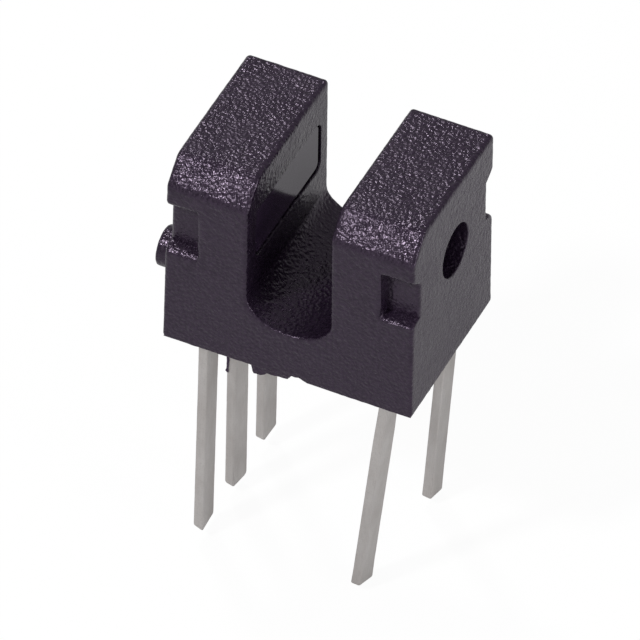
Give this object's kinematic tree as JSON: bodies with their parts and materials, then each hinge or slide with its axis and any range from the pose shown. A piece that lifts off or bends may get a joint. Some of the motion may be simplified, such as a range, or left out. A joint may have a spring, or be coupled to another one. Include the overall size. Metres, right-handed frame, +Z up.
{
  "type": "slotted optical sensor",
  "caption": "Black U-shaped optical switch for a circuit board: emitter and detector arms face each other across a slot, over flat solder leads.",
  "frame": {"origin": "middle of the housing's seating face, midway between the arms and between the outer leads", "axes": "+Z up out of the board, the slot open at the top; +Y from the chamfered front to the back, along the slot; +X from the detector arm to the emitter arm"},
  "size_m": [0.0111, 0.0066, 0.0172],
  "materials": {
    "black_moulding": "fine spark-eroded texture, near black",
    "dark_resin": "polished, near black to the eye, clear to infra-red",
    "tinned_strip": "matt tin plating on copper-alloy strip",
    "silicon": "polished semiconductor",
    "gold_wire": "drawn gold wire"
  },
  "bodies": {
    "root": {"housing": "black_moulding", "detector_body": "dark_resin", "emitter_body": "dark_resin", "detector_chip": "silicon", "emitter_chip": "silicon", "supply_lead": "tinned_strip", "ground_lead": "tinned_strip", "output_lead": "tinned_strip", "anode_lead": "tinned_strip", "cathode_lead": "tinned_strip", "supply_wire": "gold_wire", "output_wire": "gold_wire", "ground_wire": "gold_wire", "anode_wire": "gold_wire"}
  },
  "joints": []
}
